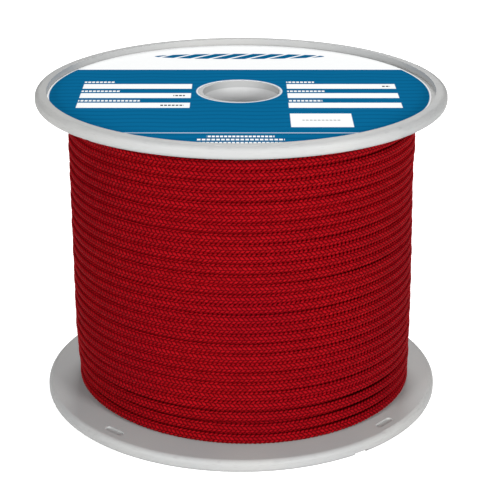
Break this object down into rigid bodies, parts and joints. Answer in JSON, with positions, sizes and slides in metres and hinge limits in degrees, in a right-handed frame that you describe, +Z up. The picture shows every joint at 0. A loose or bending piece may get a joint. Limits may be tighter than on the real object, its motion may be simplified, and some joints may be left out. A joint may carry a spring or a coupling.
{
  "type": "reel of braided rope",
  "caption": "Plastic reel with two dished flanges and a round paper label, wound full with red braided rope whose outer end is taped down behind.",
  "frame": {"origin": "centre of the lower flange's resting face, on the bore's axis", "axes": "+Z up the bore towards the labelled flange, -Y towards the front, +X to the right of someone facing the front"},
  "size_m": [0.32, 0.32, 0.254],
  "materials": {
    "flange_plastic": "moulded, satin",
    "tube_plastic": "extruded, satin",
    "zinc_steel": "zinc plated",
    "label_paper": "printed, semi-gloss",
    "rope_braid": "braided polyester, slight sheen",
    "whipping_tape": "wound tape",
    "packing_tape": "adhesive tape"
  },
  "bodies": {
    "root": {"lower_flange": "flange_plastic", "upper_flange": "flange_plastic", "arbor_tube": "tube_plastic", "barrel_tube": "tube_plastic", "tie_bolts": "zinc_steel", "head_washers": "zinc_steel", "nut_washers": "zinc_steel", "lock_nuts": "zinc_steel", "flange_label": "label_paper", "rope_winding": "rope_braid", "rope_tail": "rope_braid", "tail_whipping": "whipping_tape", "end_tape": "packing_tape"}
  },
  "joints": []
}
